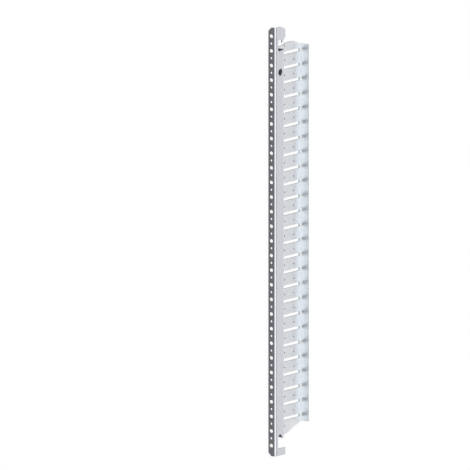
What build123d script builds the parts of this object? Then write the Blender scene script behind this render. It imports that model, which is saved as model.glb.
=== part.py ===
from build123d import *
import os

# A folded rack mounting rail, one piece of zinc-plated sheet steel with two pins welded on.
# It lies on its slotted plate: X runs from the mounting flange to the rear flange, Y runs
# along the rail towards the hook end and Z goes up to the outside of the side wall.
# The origin is under the middle of the rail, and all sizes are in millimetres.

# Sheet and folded section
sheet = 3
bend_radius = 3
rail_depth = 205
rail_height = 38.8
flange_width = 29.3
wall_depth = 53
rear_flange_width = 34

# Mounting flange: one row of holes on the metric rack pitch, by turns a large one, wider
# across the flange than it is long, and a small round one
hole_pitch = 25
hole_count = 57
large_hole_width = 14.2
large_hole_length = 12.4
small_hole = 8.3
hole_line = 18.1
top_margin = 30
bottom_margin = 36
corner_chamfer = 12

# Slotted plate: slots level with small flange holes, pin holes about level with large ones.
# The pin holes are eight-sided and this wide between opposite sides.
slot_height = 10.2
slot_front = 65
slot_rear = 193.5
first_slot_row = 3
pin_hole = 5
front_pin_hole = 72
middle_pin_hole = 105
rear_pin_hole = 160.5
rear_pin_drop = 2.5

# Outline of the slotted plate: distances along the rail from the first and last flange hole
plate_start_drop = 50
plate_rise_start = 98
plate_rise_drop = 44.5
plate_rise_end = 112
plate_top_drop = 40
plate_fall_start = 157
rear_top_drop = 55
plate_end_rise = 22
plate_slope_start = 114
rear_bottom_rise = 56

# Hook head of the side wall: depths from the front, drops from the first flange hole
hook_depth = 58.5
neck_depth = 16
head_flat = 32
head_corner_rise = 19
head_rear_drop = 7.5
tongue_depth = 37
tongue_drop = 25.5
tongue_width = 3.5
notch_top_depth = 18.5
notch_top_drop = 13
notch_rear_drop = 17
notch_neck_drop = 33
notch_foot_depth = 22
notch_foot_drop = 53.5

# Foot of the side wall, measured up from the last flange hole and the bottom end
foot_height = 25
foot_notch_radius = 11
foot_notch_rise = 36.5

# Round opening in the side wall, and locating pins on the inside of head and foot
wall_opening = 23
wall_opening_depth = 28.2
wall_opening_row = 5
locating_pin = 12
head_pin_depth = 30
head_pin_rise = 13
foot_pin_depth = 35

front = -rail_depth / 2
rear = rail_depth / 2
rail_length = top_margin + (hole_count - 1) * hole_pitch + bottom_margin
top_end = rail_length / 2
bottom_end = -rail_length / 2
first_hole = top_end - top_margin
last_hole = bottom_end + bottom_margin
wall_flat_end = front + wall_depth - bend_radius - sheet
last_slot_row = hole_count - 1 - first_slot_row
through_all = 2 * rail_height
through_sheet = 2 * sheet


def row_place(row):
    """Place along the rail of a flange hole, counted from 0 at the head."""
    return first_hole - row * hole_pitch


def folded_strip(corners):
    """Solid strip of sheet bent at every corner of its middle line, for the whole length."""
    with BuildPart() as strip:
        with BuildSketch(Plane.XZ):
            with BuildLine():
                FilletPolyline(*corners, radius=bend_radius + sheet / 2)
            trace(line_width=sheet)
        extrude(amount=rail_length / 2, both=True)
    return strip.part


def prism(outline):
    """Upright block, taller than the rail, over a closed outline of corner points."""
    with BuildPart() as block:
        with BuildSketch(Plane.XY):
            with BuildLine():
                Polyline(*outline, close=True)
            make_face()
        extrude(amount=through_all, both=True)
    return block.part


def flange_and_wall():
    """Mounting flange and side wall, with the wall cut to its head, neck, notches and foot."""
    skin = sheet / 2
    corners = [
        (front + skin, rail_height - flange_width),
        (front + skin, rail_height - skin),
        (front + hook_depth, rail_height - skin),
    ]
    wall_outline = [
        (front - sheet, top_end),
        (front + head_flat, top_end),
        (front + hook_depth, first_hole + head_corner_rise),
        (front + hook_depth, first_hole - head_rear_drop),
        (front + tongue_depth + tongue_width, first_hole - tongue_drop),
        (front + tongue_depth, first_hole - tongue_drop),
        (front + tongue_depth, first_hole - notch_rear_drop),
        (front + notch_top_depth, first_hole - notch_top_drop),
        (front + neck_depth, first_hole - notch_neck_drop),
        (front + neck_depth, first_hole - plate_start_drop),
        (front + notch_foot_depth, first_hole - notch_foot_drop),
        (wall_flat_end, first_hole - plate_start_drop),
        (wall_flat_end, last_hole + plate_end_rise),
        (front + neck_depth, last_hole + plate_end_rise),
        (front + neck_depth, bottom_end + foot_height),
        (front + hook_depth, bottom_end + foot_height),
        (front + hook_depth, bottom_end),
        (front - sheet, bottom_end),
    ]
    wall = folded_strip(corners) & prism(wall_outline)
    notch_middle = (front + neck_depth + foot_notch_radius, last_hole + foot_notch_rise - foot_notch_radius)
    wall -= Pos(*notch_middle) * Cylinder(foot_notch_radius, through_all)
    return wall


def step_and_plate():
    """Step, slotted plate and rear flange, cut to the sloping ends of the plate."""
    skin = sheet / 2
    corners = [
        (front + neck_depth, rail_height - skin),
        (front + wall_depth - skin, rail_height - skin),
        (front + wall_depth - skin, skin),
        (rear - skin, skin),
        (rear - skin, rear_flange_width),
    ]
    plate_outline = [
        (wall_flat_end, first_hole - plate_start_drop),
        (front + plate_rise_start, first_hole - plate_rise_drop),
        (front + plate_rise_end, first_hole - plate_top_drop),
        (front + plate_fall_start, first_hole - plate_top_drop),
        (rear, first_hole - rear_top_drop),
        (rear, last_hole + rear_bottom_rise),
        (front + plate_slope_start, last_hole + plate_end_rise),
        (wall_flat_end, last_hole + plate_end_rise),
    ]
    return folded_strip(corners) & prism(plate_outline)


def flange_punches():
    """Punches for the row of flange holes, large in even rows and small in odd ones."""
    large = extrude(SlotOverall(large_hole_width, large_hole_length), amount=through_sheet, both=True)
    small = Cylinder(small_hole / 2, 2 * through_sheet)
    punches = []
    for row in range(hole_count):
        punch = large if row % 2 == 0 else small
        punches.append(Pos(front, row_place(row), rail_height - hole_line) * Rot(0, 90, 0) * punch)
    return punches


def slot_punches():
    """Punches for the square-ended slots of the plate."""
    punch = Box(slot_rear - slot_front, slot_height, 2 * through_sheet)
    middle = front + (slot_front + slot_rear) / 2
    rows = range(first_slot_row, last_slot_row + 1, 2)
    return [Pos(middle, row_place(row), 0) * punch for row in rows]


def pin_hole_punches():
    """Punches for the pin holes: three to a row, fewer in the first and the last row."""
    punch = extrude(RegularPolygon(pin_hole / 2, 8, major_radius=False), amount=through_sheet, both=True)
    head_row = first_slot_row - 1
    foot_row = last_slot_row + 1
    punches = []
    for row in range(head_row, foot_row + 1, 2):
        punches.append(Pos(front + middle_pin_hole, row_place(row), 0) * punch)
        if row > head_row:
            punches.append(Pos(front + front_pin_hole, row_place(row), 0) * punch)
        if head_row < row < foot_row:
            punches.append(Pos(front + rear_pin_hole, row_place(row) - rear_pin_drop, 0) * punch)
    return punches


def locating_pins():
    """Round pins that stand on the inside of head and foot, as long as the flange is wide."""
    pin_length = flange_width - sheet / 2
    pin_middle = rail_height - sheet / 2 - pin_length / 2
    pin = Cylinder(locating_pin / 2, pin_length)
    head_pin = Pos(front + head_pin_depth, first_hole + head_pin_rise, pin_middle) * pin
    foot_pin = Pos(front + foot_pin_depth, bottom_end + foot_height / 2, pin_middle) * pin
    return head_pin + foot_pin


def mounting_rail():
    """The whole rail as one solid."""
    rail = flange_and_wall() + step_and_plate() + locating_pins()
    free_edge = rail_height - flange_width
    corner_edges = [
        edge
        for edge in rail.edges().filter_by(Axis.X)
        if abs(edge.center().Z - free_edge) < sheet / 10 and abs(abs(edge.center().Y) - top_end) < sheet / 10
    ]
    rail = chamfer(corner_edges, corner_chamfer)
    opening = Cylinder(wall_opening / 2, 2 * through_sheet)
    opening = Pos(front + wall_opening_depth, row_place(wall_opening_row), rail_height) * opening
    return rail - [opening, *flange_punches(), *slot_punches(), *pin_hole_punches()]


os.makedirs("parts", exist_ok=True)
export_step(mounting_rail(), "parts/mounting_rail.step")
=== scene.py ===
# %% [markdown]
# # A rack mounting rail on a studio table
#
# The object is one long piece of zinc-plated sheet steel, punched flat and then folded four
# times. The packed CAD model already has its true shape: the mounting flange with its row of
# holes, the side wall with its hook ends, the step, the slotted plate and the rear flange. So
# this lesson adds no geometry to it. It is about the other half of the work: a camera that looks
# along the right line, light that makes bare metal readable, and a plated finish that holds up
# close.

# %% Load the packed model
import math

import bpy
import numpy as np
from mathutils import Matrix, Vector


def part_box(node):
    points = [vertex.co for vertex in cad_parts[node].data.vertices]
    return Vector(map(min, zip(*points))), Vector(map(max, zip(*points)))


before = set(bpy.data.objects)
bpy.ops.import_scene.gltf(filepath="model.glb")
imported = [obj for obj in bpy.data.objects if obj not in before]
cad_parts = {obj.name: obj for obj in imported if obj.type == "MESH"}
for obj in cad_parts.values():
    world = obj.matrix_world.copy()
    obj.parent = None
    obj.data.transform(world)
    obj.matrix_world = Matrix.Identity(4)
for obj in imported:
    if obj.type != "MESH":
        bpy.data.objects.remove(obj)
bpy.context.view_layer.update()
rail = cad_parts["mounting_rail"]
low, high = (np.array(corner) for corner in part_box("mounting_rail"))
print("rail, metres:", np.round(high - low, 4).tolist())

# %% [markdown]
# ## Shader maths as plain sums
#
# A finish is easier to read as an expression than as a web of boxes. This class wraps one output
# of a node. Its operators add Math nodes, and its one method `node` adds every other kind of
# node. A mask is a Tone between 0 and 1, and `blend` uses it to go from one colour to another.

# %% A node's output that can be added and multiplied
class Tone:
    def __init__(self, tree, socket):
        self.tree = tree
        self.socket = socket

    def node(self, kind, settings=None, outlet=0, **inputs):
        """Adds a node, feeds its inputs and returns one of its outputs, if it has any.

        An input is given by its name, with _ for a space, or as _ and its number.
        """
        made = self.tree.nodes.new(kind)
        for name, value in (settings or {}).items():
            setattr(made, name, value)
        for name, value in inputs.items():
            inlet = made.inputs[int(name[1:]) if name[0] == "_" else name.replace("_", " ")]
            if isinstance(value, Tone):
                self.tree.links.new(value.socket, inlet)
            else:
                inlet.default_value = value
        return Tone(self.tree, made.outputs[outlet]) if made.outputs else None

    def maths(self, operation, first, second):
        return self.node("ShaderNodeMath", {"operation": operation}, _0=first, _1=second)

    def __add__(self, other):
        return self.maths("ADD", self, other)

    def __radd__(self, other):
        return self.maths("ADD", other, self)

    def __sub__(self, other):
        return self.maths("SUBTRACT", self, other)

    def __rsub__(self, other):
        return self.maths("SUBTRACT", other, self)

    def __mul__(self, other):
        return self.maths("MULTIPLY", self, other)

    def __rmul__(self, other):
        return self.maths("MULTIPLY", other, self)

    def ramp(self, start, end):
        """0 up to start, 1 from end on and a smooth step between; start may be the larger one."""
        smooth = {"interpolation_type": "SMOOTHSTEP"}
        return self.node("ShaderNodeMapRange", smooth, "Result", Value=self, From_Min=start, From_Max=end)

    def blend(self, first, second):
        """The first colour where this tone is 0 and the second where it is 1."""
        return self.node("ShaderNodeMix", {"data_type": "RGBA"}, 2, _0=self, _6=first, _7=second)


def empty_tree(owner):
    """Clears a material's or world's nodes and gives the Tone that adds the first ones."""
    owner.use_nodes = True
    owner.node_tree.nodes.clear()
    return Tone(owner.node_tree, None)


print("a Tone can", [name for name in vars(Tone) if not name.startswith("_")])

# %% [markdown]
# ## The camera
#
# The picture is a parallel projection: the rail's long edges don't converge. The rail lies on its
# slotted plate, and the camera looks down on it, rolled so that the rail runs upright through the
# frame. Two angles fix the view: how far it turns off the mounting flange towards the side wall,
# and how far it rises towards the hook head. The place in the picture is fixed by one point, the
# corner that flange and wall would make without their bend, level with the first flange hole.

# %% Place the camera
picture_pixels = 470
pixels_per_metre = 297.0
turn_off_flange = math.radians(34.5)
rise_to_head = math.radians(10.1)
corner_pixel = (275.57, 36.87)
top_margin = 0.030
camera_distance = 4
camera_reach = 20

sight = Vector(
    (
        math.cos(rise_to_head) * math.cos(turn_off_flange),
        -math.sin(rise_to_head),
        -math.cos(rise_to_head) * math.sin(turn_off_flange),
    )
)
picture_right = sight.cross(Vector((0, 1, 0))).normalized()
picture_up = picture_right.cross(sight)
corner = Vector((low[0], high[1] - top_margin, high[2]))
across = (picture_pixels / 2 - corner_pixel[0]) / pixels_per_metre
upward = (corner_pixel[1] - picture_pixels / 2) / pixels_per_metre
aim = corner + across * picture_right + upward * picture_up

camera_data = bpy.data.cameras.new("camera")
camera_data.type = "ORTHO"
camera_data.ortho_scale = picture_pixels / pixels_per_metre
camera_data.clip_end = camera_reach
camera = bpy.data.objects.new("camera", camera_data)
turn = Matrix((picture_right, picture_up, -sight)).transposed().to_4x4()
camera.matrix_world = Matrix.Translation(aim - camera_distance * sight) @ turn
bpy.context.scene.collection.objects.link(camera)
bpy.context.scene.camera = camera
print("camera aims at", [round(v, 3) for v in aim])

# %% [markdown]
# ## The light
#
# Plated steel shows its surroundings more than a colour of its own, so the light is built as
# surroundings. The world is a pale room. A bright panel high on the flange side becomes the
# bright line along the front bend, and a dark strip of ceiling beside it the grey line next to
# that. A faint panel low on the plate side lifts the side wall and the plate. All three are round
# patches of directions, 1 inside an inner angle and 0 beyond an outer one. The camera itself
# sees a plain white background.

# %% Build the room
white = (1, 1, 1, 1)
room_level = 0.95
panel_level = 0.48
panel_direction = Vector((-0.56, -0.17, 0.81)).normalized()
panel_angles = (18, 40)
strip_level = 0.88
strip_direction = Vector((0.39, -0.18, 0.90)).normalized()
strip_angles = (18, 30)
side_level = 0.08
side_direction = Vector((0.88, -0.17, 0.44)).normalized()
side_angles = (20, 40)

world = bpy.data.worlds.new("room")
bpy.context.scene.world = world
room = empty_tree(world)
direction = room.node("ShaderNodeTexCoord", outlet="Generated")


def patch(middle, inner_angle, outer_angle):
    """1 where a direction is within the inner angle of the middle, 0 beyond the outer, in degrees."""
    dot_product = {"operation": "DOT_PRODUCT"}
    nearness = room.node("ShaderNodeVectorMath", dot_product, "Value", _0=direction, _1=middle)
    return nearness.ramp(math.cos(math.radians(outer_angle)), math.cos(math.radians(inner_angle)))


panel = patch(panel_direction, *panel_angles)
strip = patch(strip_direction, *strip_angles)
side_panel = patch(side_direction, *side_angles)
level = room_level + panel_level * panel + side_level * side_panel - strip_level * strip
seen = room.node("ShaderNodeLightPath", outlet="Is Camera Ray")
background = room.node("ShaderNodeBackground", Color=white, Strength=level * (1 - seen) + seen)
room.node("ShaderNodeOutputWorld", Surface=background)
print("room nodes:", len(world.node_tree.nodes))

# %% Hang one soft lamp over the flange side
lamp_strength = 0.5
lamp_width = math.radians(60)
lamp_data = bpy.data.lights.new("key lamp", "SUN")
lamp_data.energy = lamp_strength
lamp_data.angle = lamp_width
lamp = bpy.data.objects.new("key lamp", lamp_data)
lamp.rotation_mode = "QUATERNION"
lamp.rotation_quaternion = panel_direction.to_track_quat("Z", "Y")
lamp.visible_glossy = False
bpy.context.scene.collection.objects.link(lamp)
print("lamp shines from", [round(v, 2) for v in panel_direction])

# %% [markdown]
# ## The table
#
# To the camera the table is a white sheet that glows a little, so that it merges with the white
# background and still keeps a faint shadow. The metal sees a grey felt mat there instead. The
# camera looks down on the upright mounting flange, so the flange mirrors the mat, and so do the
# rear ends of the slots. Without the mat the whole rail would be one pale tone. The table lies a
# little lower than the rail, so that no two faces share a plane.

# %% Lay the table
table_half = 6.0
table_drop = 0.0005
mat_half = 0.60
mat_edge = 0.01
mat_grey = (0.14, 0.14, 0.144, 1)
bare_table = (0.8, 0.8, 0.8, 1)
glow_share = 0.96
table_mesh = bpy.data.meshes.new("table")
reach = np.array([(-1, -1, 0), (1, -1, 0), (1, 1, 0), (-1, 1, 0)]) * table_half
reach[:, 2] = low[2] - table_drop
table_mesh.from_pydata(reach.tolist(), [], [(0, 1, 2, 3)])
table = bpy.data.objects.new("table", table_mesh)
bpy.context.scene.collection.objects.link(table)

table_white = bpy.data.materials.new("table_white")
top = empty_tree(table_white)
place = top.node("ShaderNodeTexCoord", outlet="Object")
across_mat = top.node("ShaderNodeSeparateXYZ", outlet="X", Vector=place)
off_mat = (across_mat * across_mat).ramp((mat_half - mat_edge) ** 2, (mat_half + mat_edge) ** 2)
seen = top.node("ShaderNodeLightPath", outlet="Is Camera Ray")
felt = off_mat.blend(mat_grey, bare_table)
paper = top.node("ShaderNodeBsdfDiffuse", Color=seen.blend(felt, white))
glow = top.node("ShaderNodeEmission", Color=white)
surface = top.node("ShaderNodeMixShader", _0=glow_share * seen, _1=paper, _2=glow)
top.node("ShaderNodeOutputMaterial", Surface=surface)
table_mesh.materials.append(table_white)
print("mat, metres wide:", 2 * mat_half)

# %% [markdown]
# ## The zinc plating
#
# Bright zinc on rolled sheet is a cool light grey mirror, slightly fogged. Up close it has three
# scales: clouds where the plating took unevenly, a fine grain of crystals, and faint lines along
# the sheet from the rolling mill. The rest is painted light and shade, laid on places along the rail:
# the slotted plate is painted lighter than the side wall, a band before the rear bend is painted
# lighter still as a highlight, the inside of that bend is painted duller to damp its highlight, the
# rear flange is painted darker and bluish towards its lip, and the walls of the holes and slots are
# painted darkest, as the shade inside them. Masks on the Object coordinates, worked out from the
# rail's box, tell those places apart.

# %% Start the finish
zinc = bpy.data.materials.new("zinc_plated_steel")
plate = empty_tree(zinc)
place = plate.node("ShaderNodeTexCoord", outlet="Object")
depth = plate.node("ShaderNodeSeparateXYZ", outlet="X", Vector=place)
lift = plate.node("ShaderNodeSeparateXYZ", outlet="Z", Vector=place)


def speckle(scale, detail, stretch=(1, 1, 1)):
    """Noise between 0 and 1 with about so many grains a metre, stretched where a scale is under 1."""
    spread = plate.node("ShaderNodeMapping", Vector=place, Scale=stretch)
    return plate.node("ShaderNodeTexNoise", Vector=spread, Scale=scale, Detail=detail)


clouds = speckle(38, 3).ramp(0.3, 0.7)
crystals = speckle(900, 2).ramp(0.35, 0.65)
mill_lines = speckle(700, 1, stretch=(1, 0.02, 1))
print("finish nodes so far:", len(zinc.node_tree.nodes))

# %% Find the plate, the rear bend and the rear flange
wall_depth = 0.053
bend_radius = 0.006
# The painted light band fades in between the first two places across the rail and out between the others.
light_band_start = (0.020, 0.055)
light_band_end = (0.080, 0.066)
rear_bend = high[0] - bend_radius
behind_wall = depth.ramp(low[0] + 0.6 * wall_depth, low[0] + 1.4 * wall_depth)
# Painted light: the slotted plate gets a lighter copy of the wall's zinc, standing in for the brighter
# reflection it shows.
plate_painted_light = behind_wall * lift.ramp(high[2], low[2])
# Painted highlight: a near-white band on the plate before the rear bend, lifting the darker reflection
# the plate shows next to the rear flange.
painted_light_band = depth.ramp(*light_band_start) * depth.ramp(*light_band_end)
painted_light_on_plate = painted_light_band * lift.ramp(2 * bend_radius, bend_radius)
# Painted shade: the inside of the rear bend is painted duller to damp its highlight, and is also made
# rougher.
inside_bend = depth.ramp(rear_bend - 0.8 * bend_radius, rear_bend)
bend_painted_shade = inside_bend * lift.ramp(1.6 * bend_radius, 0.8 * bend_radius)
# Painted shade: the rear flange turns darker and bluish towards its lip, standing in for its fading
# reflection.
on_rear_flange = depth.ramp(rear_bend, rear_bend + 0.5 * bend_radius)
lip_painted_shade = on_rear_flange * lift.ramp(-1.5 * bend_radius, 5.5 * bend_radius)
print("rear bend starts at x =", round(rear_bend, 4))

# %% [markdown]
# ## Painted shade in holes and slots
#
# The walls of holes and slots are painted dark, as the shade that falls inside them. They need no list of
# holes: on the flat plate and the
# flat mounting flange, whatever lies between the two faces of the sheet is such a wall, or a cut
# edge.

# %% Find the punched walls of holes and slots
sheet = 0.003
# The thin layer under a face of the sheet in which a wall's darkness fades in.
skin = 0.0002


def within_sheet(tone, first_face, second_face):
    """1 between the two faces of the sheet, 0 on them."""
    past_first = tone.ramp(first_face + 0.5 * skin, first_face + skin)
    return past_first * tone.ramp(second_face - 0.5 * skin, second_face - skin)


plate_start = low[0] + wall_depth + bend_radius - sheet
on_plate = depth.ramp(plate_start, plate_start + skin) * depth.ramp(rear_bend, rear_bend - skin)
on_mounting_flange = lift.ramp(high[2] - bend_radius, high[2] - bend_radius - skin)
# Painted shade: these walls get a dark zinc, standing in for the shade inside holes and slots.
slot_walls = on_plate * within_sheet(lift, low[2], low[2] + sheet)
hole_walls = on_mounting_flange * within_sheet(depth, low[0], low[0] + sheet)
punched = slot_walls + hole_walls
print("flat plate starts at x =", round(plate_start, 4))

# %% Mix the finish
# The wall's zinc and the plate's lighter copy differ by painted light; the clouds in both are real tone.
wall_zinc = clouds.blend((0.76, 0.78, 0.83, 1), (0.80, 0.82, 0.87, 1))
plate_zinc_painted_lighter = clouds.blend((0.88, 0.90, 0.93, 1), (0.92, 0.94, 0.97, 1))
# Painted highlight colour for the band before the rear bend.
painted_light_zinc = (0.97, 0.975, 0.99, 1)
# Painted shade colour inside the rear bend.
bend_shade_zinc = (0.84, 0.86, 0.89, 1)
# Painted shade colour towards the rear flange's lip.
lip_shade_zinc = (0.68, 0.73, 0.77, 1)
# Painted shade colour for the walls of holes and slots.
wall_shade_zinc = (0.28, 0.29, 0.31, 1)
colour = plate_painted_light.blend(wall_zinc, plate_zinc_painted_lighter)
colour = painted_light_on_plate.blend(colour, painted_light_zinc)
colour = bend_painted_shade.blend(colour, bend_shade_zinc)
colour = lip_painted_shade.blend(colour, lip_shade_zinc)
colour = punched.blend(colour, wall_shade_zinc)
roughness = 0.33 + 0.03 * clouds + 0.04 * crystals + 0.15 * bend_painted_shade + 0.04 * lip_painted_shade
relief = plate.node("ShaderNodeBump", Strength=0.06, Distance=0.0002, Height=crystals + 0.6 * mill_lines)
steel = plate.node(
    "ShaderNodeBsdfPrincipled",
    Base_Color=colour,
    Metallic=1.0,
    Roughness=roughness,
    Normal=relief,
)
plate.node("ShaderNodeOutputMaterial", Surface=steel)
rail.data.materials.clear()
rail.data.materials.append(zinc)
print("plated", rail.name)

# %% [markdown]
# ## Finish
#
# The view transform stays plain so that colours come out as written.

# %% Keep the view transform plain
bpy.context.scene.view_settings.view_transform = "Standard"
